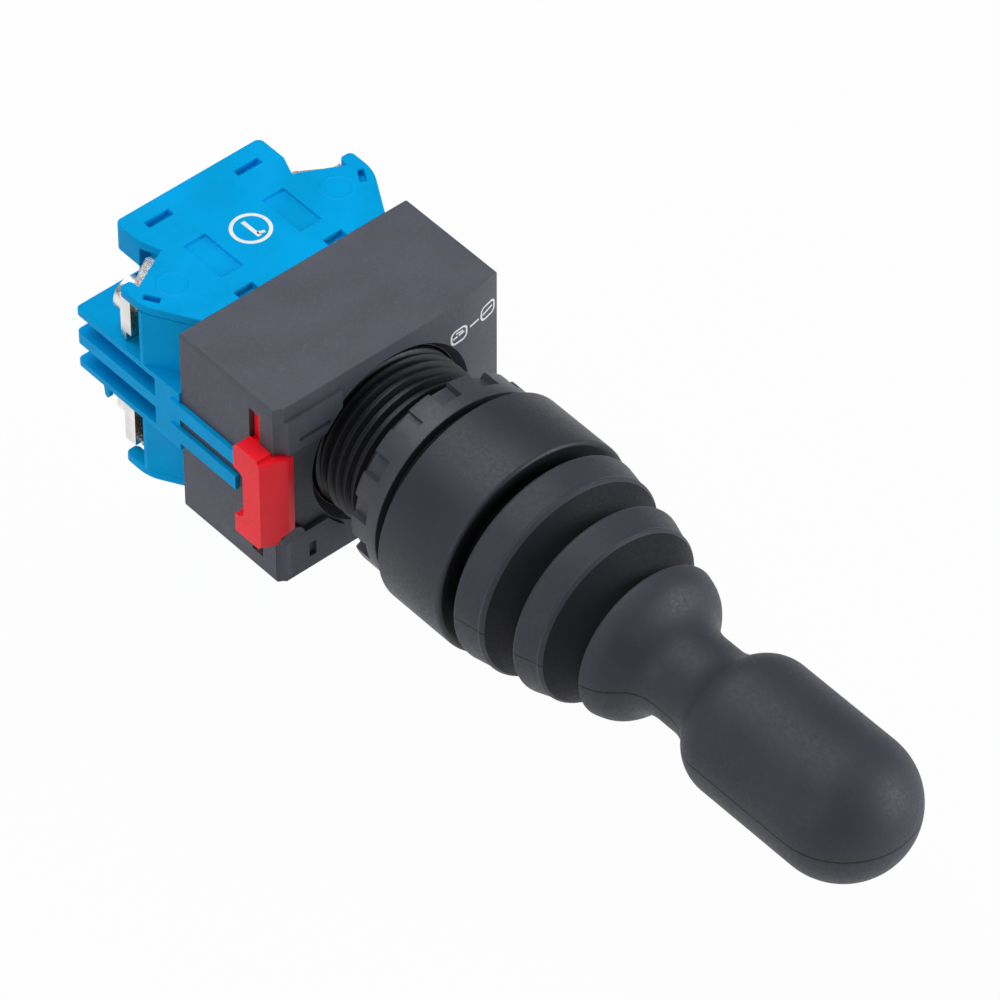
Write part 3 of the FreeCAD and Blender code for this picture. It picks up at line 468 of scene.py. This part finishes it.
def make_world():
    """A dim even light, behind a backdrop that is white to the camera."""
    world = bpy.data.worlds.new("studio")
    bpy.context.scene.world = world
    world.use_nodes = True
    tree = world.node_tree
    tree.nodes.clear()
    output = tree.nodes.new("ShaderNodeOutputWorld")
    ambient = tree.nodes.new("ShaderNodeBackground")
    ambient.inputs["Color"].default_value = (0.95, 0.97, 1, 1)
    ambient.inputs["Strength"].default_value = 0.2
    backdrop = tree.nodes.new("ShaderNodeBackground")
    backdrop.inputs["Color"].default_value = (1, 1, 1, 1)
    path = tree.nodes.new("ShaderNodeLightPath")
    blend = tree.nodes.new("ShaderNodeMixShader")
    tree.links.new(path.outputs["Is Camera Ray"], blend.inputs[0])
    tree.links.new(ambient.outputs[0], blend.inputs[1])
    tree.links.new(backdrop.outputs[0], blend.inputs[2])
    tree.links.new(blend.outputs[0], output.inputs["Surface"])


def make_lamp(name, place, size, power, colour=(1, 1, 1)):
    """An area lamp aimed at the middle of the switch; place and size are in metres."""
    data = bpy.data.lights.new(name, "AREA")
    data.shape = "RECTANGLE"
    data.size, data.size_y = size
    data.energy = power
    data.color = colour
    lamp = linked(name, data)
    lamp.location = place
    aim = Vector((0, -0.01, 0)) - Vector(place)
    lamp.rotation_euler = aim.to_track_quat("-Z", "Y").to_euler()


make_camera()
make_floor()
make_world()
make_lamp("overhead", (-0.05, 0.25, 0.62), (0.6, 0.5), 3.1)
make_lamp("left", (-0.66, 0.0, 0.26), (0.35, 0.5), 1.3, (0.96, 0.98, 1))
make_lamp("front_right", (0.50, -0.62, 0.24), (0.5, 0.5), 5.2, (0.95, 0.97, 1))


# Operator: bezel, barrel, nut, gasket, springs, boot and handle.

def make_bezel():
    """The round bezel; its end faces and front lip take the darker black, which is painted shade, while the
    turned side keeps the plain black.
    """
    outline = filleted([
        (12.95, BEZEL_REAR, 0), (14.75, BEZEL_REAR, 0.15), (14.75, -12.0, 0.7), (13.4, -11.9, 0.4),
        (11.3, -11.45, 0.3), (11.3, -10.9, 0), (12.95, -10.9, 0),
    ])
    mesh = lathe_mesh("bezel", outline)
    shade(mesh, 50)
    piece = add_piece("bezel", mesh, "fixed", "black_plastic", ["bezel_ring"])
    # the bezel's end faces and front lip are painted shade: they take the darker black
    piece.data.materials.append(looks["black_and_painted_shade_plastic"])
    for face in mesh.polygons:
        if abs(face.normal.y) > 0.8:
            face.material_index = 1


def in_key_groove(across, up, y, half_width=1.3):
    """Whether a point lies in the groove along the barrel's underside that the washer's key slides in."""
    return abs(across) < half_width and up < 0 and y < BASE_FRONT


def make_barrel():
    """A plain core with a helical ridge for the M22 x 1.5 thread and the key groove along its underside."""
    def core_radius(radius, y, a):
        across, up = radius * math.cos(a), radius * math.sin(a)
        if groove_floor < radius < 11.5 and y > 0.2 and in_key_groove(across, up, y):
            return groove_floor / -math.sin(a)
        return radius

    groove_floor = 10.2
    outline = [(9.0, -9.0), (12.9, -9.0), (12.9, BEZEL_REAR), (CREST, BEZEL_REAR), (CREST, 0.3), (CREST, 0.9)]
    outline += [(ROOT, 1.2 + 12.9 * i / 26) for i in range(27)]
    outline += [(10.98, 14.6), (10.98, 16.7), (9.7, 16.7), (9.7, 18.6), (CREST, 18.6), (CREST, 21.7)]
    outline += [(10.7, 22.0), (8.4, 22.0), (8.4, 9.0), (9.0, 9.0)]
    core = lathe_mesh("barrel_core", outline, change=core_radius, turns=200)
    shade(core, 40)
    # the barrel's black core is darkened further as painted shade
    add_piece("barrel_core", core, "fixed", "black_plastic", ["barrel"], "black_and_painted_shade_plastic")
    make_thread()


def make_thread():
    """The ridge runs out over part of a turn at both ends and is cut short at the key groove."""
    verts, faces = [], []
    per_turn, runout_steps = 132, 40
    foot = ROOT - 0.3
    steps = int((THREAD_END - THREAD_START) / PITCH * per_turn)
    section = [(foot, -0.62), (CREST - 0.04, -0.14), (CREST, -0.08), (CREST, 0.08), (CREST - 0.04, 0.14),
               (foot, 0.62)]
    rows = len(section)
    for i in range(steps + 1):
        a = 2 * math.pi * i / per_turn
        middle = THREAD_START + PITCH * i / per_turn
        height = min(1.0, i / runout_steps, (steps - i) / runout_steps)
        for radius, along in section:
            r = foot + (radius - foot) * height
            y = middle + along * max(height, 0.05)
            if in_key_groove(r * math.cos(a), r * math.sin(a), y, 1.85):
                r = min(r, ROOT - 0.2)
            verts.append((r * math.cos(a), y, r * math.sin(a)))
    for i in range(steps):
        for k in range(rows):
            m = (k + 1) % rows
            faces.append((i * rows + k, i * rows + m, (i + 1) * rows + m, (i + 1) * rows + k))
    faces.append(tuple(range(rows - 1, -1, -1)))
    faces.append(tuple(range(steps * rows, steps * rows + rows)))
    ridge = closed_mesh("thread_ridge", verts, faces)
    shade(ridge, 30)
    # the thread's black ridge is darkened further as painted shade
    add_piece("thread_ridge", ridge, "fixed", "black_plastic", ["barrel"], "black_and_painted_shade_plastic")


def make_lock_nut():
    """A round nut with notches in its rear rim, for a ring spanner."""
    count, notch_width, notch_floor, notch_start = 14, 2.9, 12.7, 2.62
    half = math.asin(notch_width / 2 / 13.2)
    gap = 2 * math.pi / count
    angles = []
    first = math.radians(90)
    for i in range(count):
        middle = first + 2 * math.pi * i / count
        for part in (-1, -0.97, -0.5, 0, 0.5, 0.97, 1):
            angles.append(middle + half * part)
        for part in (0.02, 0.2, 0.4, 0.6, 0.8, 0.98):
            angles.append(middle + half + (gap - 2 * half) * part)

    def radius_at(radius, y, a):
        if radius < 12.5 or y < notch_start:
            return radius
        place = ((a - first) / gap + 0.5) % 1.0 - 0.5
        inside = abs(place) * gap < half * 0.985
        return min(radius, notch_floor) if inside else radius

    outline = filleted([
        (11.05, 0.84, 0.1), (13.55, 0.84, 0.12), (13.55, 2.6, 0), (13.55, 2.8, 0), (13.55, 5.4, 0.35),
        (11.05, 5.4, 0.4),
    ], 3)
    mesh = lathe_mesh("notched_nut", outline, angles=angles, change=radius_at)
    shade(mesh, 35)
    # the nut's black plastic is made lighter here: painted light
    add_piece("notched_nut", mesh, "nut", "black_plastic", ["lock_nut"], "painted_light_nut_plastic")


def make_gasket():
    """The flat ring between bezel and panel, a little smaller than both beside it."""
    outline = filleted([(11.05, BEZEL_REAR, 0), (13.35, BEZEL_REAR, 0.2), (13.35, 0, 0.2), (11.05, 0, 0)], 4)
    mesh = lathe_mesh("gasket_ring", outline)
    shade(mesh, 40)
    # the gasket's near-black is partly painted shade
    add_piece("gasket_ring", mesh, "fixed", "gasket_rubber", ["panel_gasket"])


def make_dark_steel():
    """The keyed washer and the jam nut are black: the photo shows no bright edge at nut or bell."""
    for node in ("lock_washer", "jam_nut"):
        refined(node, 0.1, look="black_and_painted_shade_plastic")


def make_springs():
    """Each coil replaces its node; its seat in the fixed body and its free end, which the rod presses, are
    worked out.
    """
    for number in (1, 2):
        for kind, seat in (("rod_spring", 7.8), ("return_spring", 47.5)):
            node = f"{kind}_{number}"
            mesh = nodes[node].data.copy()
            shade(mesh, 50)
            low, high = (pick(v.co.y for v in mesh.vertices) for pick in (min, max))
            free_end = low if seat * MM - low > high - seat * MM else high
            middle = sum((v.co for v in mesh.vertices), Vector()) / len(mesh.vertices)
            coil = linked(node + "_coil", mesh)
            dress(coil, slot_of[node])
            start, end = (middle.x, seat * MM, middle.z), (middle.x, free_end, middle.z)
            make_soft(coil, node, start, end)


def make_boot():
    """The boot's two banded rings; its cones and the valleys between the bands take a duller, darker rubber
    that is painted shade.
    """
    outline = filleted([
        (9.96, -10.2, 0), (12.5, -10.2, 0.2), (12.5, -10.85, 0.1), (11.1, -10.85, 0.3),
        (11.1, -13.7, 0.4), (14.4, -13.7, 0.6), (13.68, -17.6, 0.3), (13.8, -18.0, 0.2), (13.45, -18.5, 0.4),
        (10.2, -21.6, 0.35), (10.2, -22.3, 0.2), (13.05, -22.7, 0.5), (11.98, -26.0, 0.3),
        (12.06, -26.35, 0.2), (11.7, -26.8, 0.4), (8.4, -30.7, 0.7),
        (3.3, -30.7, 0.15), (3.3, -29.75, 0.15), (7.94, -29.75, 0.5), (11.04, -25.93, 0.3),
        (11.8, -23.75, 0.3), (9.25, -23.27, 0.3), (9.25, -21.22, 0.3), (12.75, -17.73, 0.4),
        (13.36, -14.65, 0.4), (9.96, -14.27, 0.3),
    ], 6)
    mesh = lathe_mesh("boot", outline)
    shade(mesh, 60)
    boot = linked("boot", mesh)
    dress(boot, "black_rubber")
    # the cones and valleys take the darker rubber as painted shade, where the next ring and the handle shade
    # them
    mesh.materials.append(looks["painted_shade_rubber"])
    for face in mesh.polygons:
        middle = face.center / MM
        across = math.hypot(middle.x, middle.z)
        in_cone = -22.7 < middle.y < -18.8 or middle.y < -27.1 or middle.y > -13.6
        if in_cone and across < 13.5:
            face.material_index = 1
    make_soft(boot, "bellows_boot", (0, -0.0128, 0), (0, -0.0304, 0))


def arc(across, along, radius, start, end, steps):
    """Points on an arc about (across, along), between two angles in degrees."""
    points = []
    for i in range(steps + 1):
        a = math.radians(start + (end - start) * i / steps)
        points.append((across + radius * math.cos(a), along + radius * math.sin(a)))
    return points


def make_handle():
    """Bell, waist, shoulder and domed grip, on the same arcs as the solid."""
    neck, curve, grip, dome_start = 6.05, 5.2, 9.24, -65.1
    shoulder_curve = (grip - neck) / (1 - math.cos(math.radians(45))) - curve
    shoulder_start = -42.2 - curve * math.sin(math.radians(45))
    grip_start = shoulder_start - shoulder_curve * math.sin(math.radians(45))
    outline = [(3.0, -33.2), (8.2, -33.2), (9.55, -31.36)]
    outline += arc(10.0, -31.75, 0.45, 90, 0, 6)
    bell_start = len(outline)
    outline += arc(neck + curve, -39.5, curve, 130, 180, 16)
    outline += arc(neck + curve, -42.2, curve, 180, 225, 14)
    outline += arc(grip - shoulder_curve, grip_start, shoulder_curve, 45, 0, 14)[1:]
    outline += [(grip, grip_start + (dome_start - grip_start) * i / 8) for i in range(1, 9)]
    outline += arc(0, dome_start, grip, 0, -90, 26)[1:]
    outline += [(0.0, -60.0), (3.0, -60.0)]
    # the bell swells a little between its rim and the neck's arc
    (r0, y0), (r1, y1) = outline[bell_start - 1], outline[bell_start]
    swell = []
    for i in range(1, 12):
        t = i / 12
        out = 0.52 * math.sin(math.pi * t)
        swell.append((r0 + (r1 - r0) * t + out * 0.85, y0 + (y1 - y0) * t - out * 0.5))
    outline[bell_start:bell_start] = swell
    mesh = lathe_mesh("handle", outline, turns=160)
    shade(mesh, 50)
    add_piece("handle", mesh, "lever", "handle_rubber", ["lever_handle"])


make_bezel()
make_barrel()
make_lock_nut()
make_gasket()
make_dark_steel()
make_springs()
make_boot()
make_handle()


# Base, slide and contact blocks.

def make_lock_slide():
    """The grip's head and foot reach further back, its front is swept and its lower corner cut away.

    A lug of the base fills the cut corner.
    """
    outside, grip_root = -20.5, -17.66
    waist = [(SLIDE_REAR, 2.7), (SLIDE_REAR + 0.7, 3.1), (19.4, 3.4), (19.4, -4.6), (SLIDE_REAR + 0.7, -4.3),
             (SLIDE_REAR, -3.7)]
    front = filleted([(-15.6, 12.74, 0), (-16.8, 12.74, 2.5), (-20.4, 14.4, 0)], 8)[:-1]
    front += [(-20.4, 14.4), (-20.4, 12.2), (-15.6, 12.2)]
    corner = arc(-15.9, -7.3, 2.2, 0, 360, 40)[:-1]
    refined("lock_slide", 0.32, cutters=[
        prism("x", outside, grip_root, waist),
        prism("z", -9, 9, front),
        prism("y", 12.0, 16.6, corner),
        prism("x", outside, grip_root, [(18.2, 7.5), (19.2, 6.3), (19.2, 7.5)]),
    ])
    lug = arc(-15.9, -7.1, 1.85, 0, 180, 20) + [(-17.5, -7.1)]
    lug = [(max(-17.5, x), z) for x, z in lug]
    mesh = prism("y", 13.0, 16.5, lug)
    shade(mesh)
    soften_edges(add_piece("base_lug", mesh, "fixed", "grey_plastic"), 0.25)


def make_cases():
    """The fins' rear corners are round, and a small hook hangs under the lower block's lowest fin."""
    corner = [(16.4, FIN_REAR, 0), (BLOCK_HALF_WIDTH, FIN_REAR, 1.3), (BLOCK_HALF_WIDTH, 49.0, 0)]
    corner = filleted(corner, 8) + [(19, 49.0), (19, 51.5), (16.4, 51.5)]
    for number in (1, 2):
        cutters = [prism("z", -5, 5, [(across * u, v) for u, v in corner]) for across in (-1, 1)]
        refined(f"block_{number}_case", 0.16, cutters)
    hook = prism("x", -17.9, -17.2, [(44.8, -4.6), (46.0, -4.6), (45.8, -6.2), (45.3, -6.5), (44.9, -6.0)])
    shade(hook)
    soften_edges(add_piece("fin_hook", hook, "fixed", "blue_plastic"), 0.15)


def make_covers():
    """The flank's corner is a long soft arc, and a moulded ring stands on each side of the cover."""
    flank = [(14.1, BLOCK_FRONT, 0), (BLOCK_HALF_WIDTH, FLANK_END, 14), (BLOCK_HALF_WIDTH, 41.4, 0)]
    flank = [point for point in filleted(flank, 10)[:-1] if point[1] > 32] + [(19, 40.3), (19, 33)]
    for number, side in ((1, 1), (2, -1)):
        low, high = sorted((side * 4.0, side * 15))
        cutters = [prism("z", low, high, [(across * u, v) for u, v in flank]) for across in (-1, 1)]
        refined(f"block_{number}_cover", 0.2, cutters)
        for word, across in (("left", -12.6), ("right", 12.6)):
            mesh = low_ring(f"moulded_ring_{number}_{word}", across, 38.3, side * COVER_TOP, side * 0.09)
            shade(mesh, 80)
            add_piece(mesh.name, mesh, "fixed", "blue_plastic")


def low_ring(name, across, along, up, rise):
    """A ring in low relief with sloping sides, on a face across Z."""
    section = [(1.6, -0.2), (1.85, 1), (2.05, 1), (2.3, -0.2)]
    verts, faces = [], []
    count, rows = 72, len(section)
    for i in range(count):
        a = 2 * math.pi * i / count
        for radius, share in section:
            verts.append((across + radius * math.cos(a), along + radius * math.sin(a), up + rise * share))
    for i in range(count):
        j = (i + 1) % count
        for k in range(rows):
            m = (k + 1) % rows
            faces.append((i * rows + k, i * rows + m, j * rows + m, j * rows + k))
    return closed_mesh(name, verts, faces)


def make_terminals():
    """Clamps with a shorter ear, and a plate lip behind each ledge of the cover."""
    plan = [(15.9, 39.1), (15.9, 41.9), (15.2, 42.7), (11.4, 45.2), (10.7, 45.0), (10.7, 39.1)]
    for number, side in ((1, 1), (2, -1)):
        cutters = []
        for across in (-1, 1):
            for rear, top in ((41.3, 12.6), (42.25, 6.2)):
                ear = rectangle(*sorted((across * 17.4, across * 15.9)), *sorted((side * 4.0, side * top)))
                cutters.append(prism("y", 39.0, rear, ear))
        refined(f"wire_clamps_{number}", 0.2, cutters)
        refined(f"terminal_screws_{number}", 0.2)
        refined(f"contact_strips_{number}", 0.08)
        low, high = sorted((side * 12.2, side * 12.9))
        for word, across in (("left", -1), ("right", 1)):
            mesh = prism("z", low, high, [(across * u, v) for u, v in plan])
            shade(mesh)
            lip = add_piece(f"terminal_lip_{number}_{word}", mesh, "fixed", "silver")
            soften_edges(lip, 0.2)


# Printed marks.

def flat_mesh(name, loops, place):
    """Thin printed shapes; each loop is a list of (u, v) and place maps them to the frame."""
    verts, faces = [], []
    for loop in loops:
        start = len(verts)
        verts += [place(u, v) for u, v in loop]
        faces.append(tuple(range(start, start + len(loop))))
    mesh = bpy.data.meshes.new(name)
    mesh.from_pydata(verts, [], faces)
    return mesh


def stroke(points, width, closed=False):
    """Quads along a polyline, one per run, a little longer than the run so that corners meet."""
    quads = []
    runs = list(zip(points, points[1:] + points[:1] if closed else points[1:]))
    for (u0, v0), (u1, v1) in runs:
        way = Vector((u1 - u0, v1 - v0))
        if way.length < 1e-6:
            continue
        way.normalize()
        side = Vector((-way.y, way.x)) * width / 2
        end = way * width * 0.12
        quads.append([(u0 - end.x + side.x, v0 - end.y + side.y), (u0 - end.x - side.x, v0 - end.y - side.y),
                      (u1 + end.x - side.x, v1 + end.y - side.y), (u1 + end.x + side.x, v1 + end.y + side.y)])
    return quads


def circle_points(u, v, radius, count):
    """Points round a circle."""
    turns = [2 * math.pi * i / count for i in range(count)]
    return [(u + radius * math.cos(a), v + radius * math.sin(a)) for a in turns]


def flat_ring(u, v, radius, width, count=64):
    """Quads of a ring that don't overlap."""
    inner = circle_points(u, v, radius - width / 2, count)
    outer = circle_points(u, v, radius + width / 2, count)
    return [[inner[i], outer[i], outer[(i + 1) % count], inner[(i + 1) % count]] for i in range(count)]


def make_number():
    """The figure 1 in a circle on the upper block."""
    loops = flat_ring(0.25, 39.6, 2.4, 0.48)
    loops += stroke([(0.2, 41.05), (0.25, 38.0)], 0.55)
    loops += stroke([(0.35, 38.5), (1.2, 38.2)], 0.42)
    mesh = flat_mesh("number_mark", loops, lambda u, v: (u * MM, v * MM, (COVER_TOP + INK_RISE) * MM))
    add_piece("number_mark", mesh, "fixed", "white_ink")


def front_slope(across):
    """The y of the base's front face, which falls away on an arc to the right of its flat part."""
    flat_end, width, fall = 8, 9.6, 1.4
    if across <= flat_end:
        return BASE_FRONT
    radius = (width ** 2 + fall ** 2) / (2 * fall)
    return BASE_FRONT + radius - math.sqrt(radius ** 2 - (across - flat_end) ** 2)


def rectangle(left, right, low, high):
    """The corners of an upright rectangle."""
    return [(left, low), (right, low), (right, high), (left, high)]


def rounded_box(u, v, wide, tall, corner, steps=5):
    """The outline of a rectangle with round corners about (u, v)."""
    points = []
    for cu, cv, turn in ((1, 1, 0), (-1, 1, 90), (-1, -1, 180), (1, -1, 270)):
        for i in range(steps + 1):
            a = math.radians(turn + 90 * i / steps)
            points.append((u + cu * (wide / 2 - corner) + corner * math.cos(a),
                           v + cv * (tall / 2 - corner) + corner * math.sin(a)))
    return points


def make_pictograms():
    """Two small padlocks joined by a dash, printed on the base's front face."""
    width = 0.3
    loops = []
    for across, up in ((10.6, 9.0), (15.75, 9.35)):
        loops += stroke(rounded_box(across, up, 2.5, 2.0, 0.7), width, True)
        loops += stroke([(across - 0.95, up - 0.1), (across + 0.8, up + 0.15)], width)
    loops += stroke([(10.1, 9.5), (11.2, 9.45)], width * 0.8)
    loops += stroke([(12.5, 9.1), (14.0, 9.2)], width)
    mesh = flat_mesh("pictograms", loops, lambda u, v: (u * MM, (front_slope(u) - INK_RISE) * MM, v * MM))
    add_piece("pictograms", mesh, "fixed", "white_ink")


def make_base():
    """The base's front is dished round the barrel."""
    outline = [(0.0, 13.3), (12.55, 13.3), (12.3, 13.72), (11.4, 15.0), (0.0, 15.0)]
    refined("base_housing", 0.25, [lathe_mesh("bore", outline, turns=96)])
    refined("retaining_plate", 0.1)


make_base()
make_cases()
make_lock_slide()
make_covers()
make_terminals()
make_number()
make_pictograms()

bpy.context.scene.view_settings.view_transform = "Standard"
